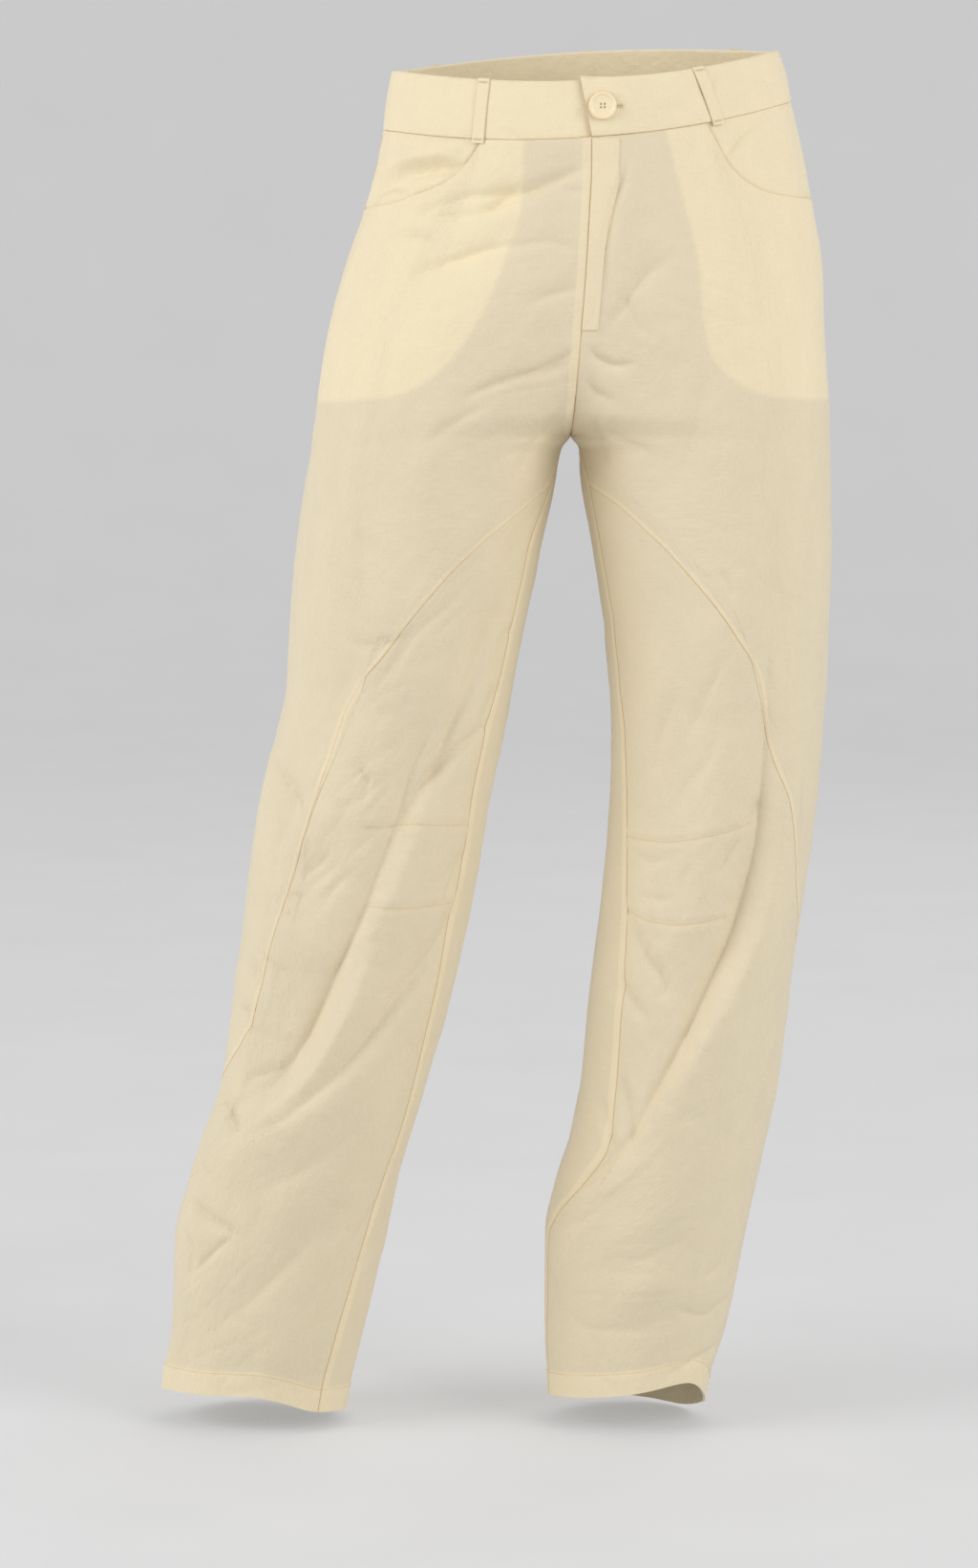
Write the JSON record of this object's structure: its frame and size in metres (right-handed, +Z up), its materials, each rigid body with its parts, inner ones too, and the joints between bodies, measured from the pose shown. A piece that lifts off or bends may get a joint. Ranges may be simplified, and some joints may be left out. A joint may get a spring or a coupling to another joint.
{
  "type": "barrel leg trousers",
  "caption": "Full-length loose trousers with barrel legs in two front panels, a buttoned waistband with belt loops, a fly, scoop pockets and knee darts.",
  "frame": {"origin": "middle of the waist, where the wearer holds the trousers up", "axes": "+Z up, -Y to the front of the garment, +X to the wearer's left"},
  "size_m": [0.5262, 0.2304, 1.0788],
  "materials": {
    "cloth": "fine plain weave with light slubs, pale yellow, soft matte",
    "cloth_double": "the same cloth where it lies double, a little brighter",
    "pocket_bag": "thin plain cloth",
    "button": "dyed to match, satin"
  },
  "bodies": {
    "root": {"front_upper_right": "cloth", "front_upper_left": "cloth", "front_lower_right": "cloth", "front_lower_left": "cloth", "back_right": "cloth", "back_left": "cloth", "pocket_facing_right": "cloth", "pocket_facing_left": "cloth", "waistband": "cloth_double", "fly_placket": "cloth_double", "belt_loop_front_right": "cloth_double", "belt_loop_front_left": "cloth_double", "belt_loop_back_right": "cloth_double", "belt_loop_back_left": "cloth_double", "belt_loop_centre_back": "cloth_double", "pocket_bag_right": "pocket_bag", "pocket_bag_left": "pocket_bag", "button": "button"}
  },
  "joints": []
}
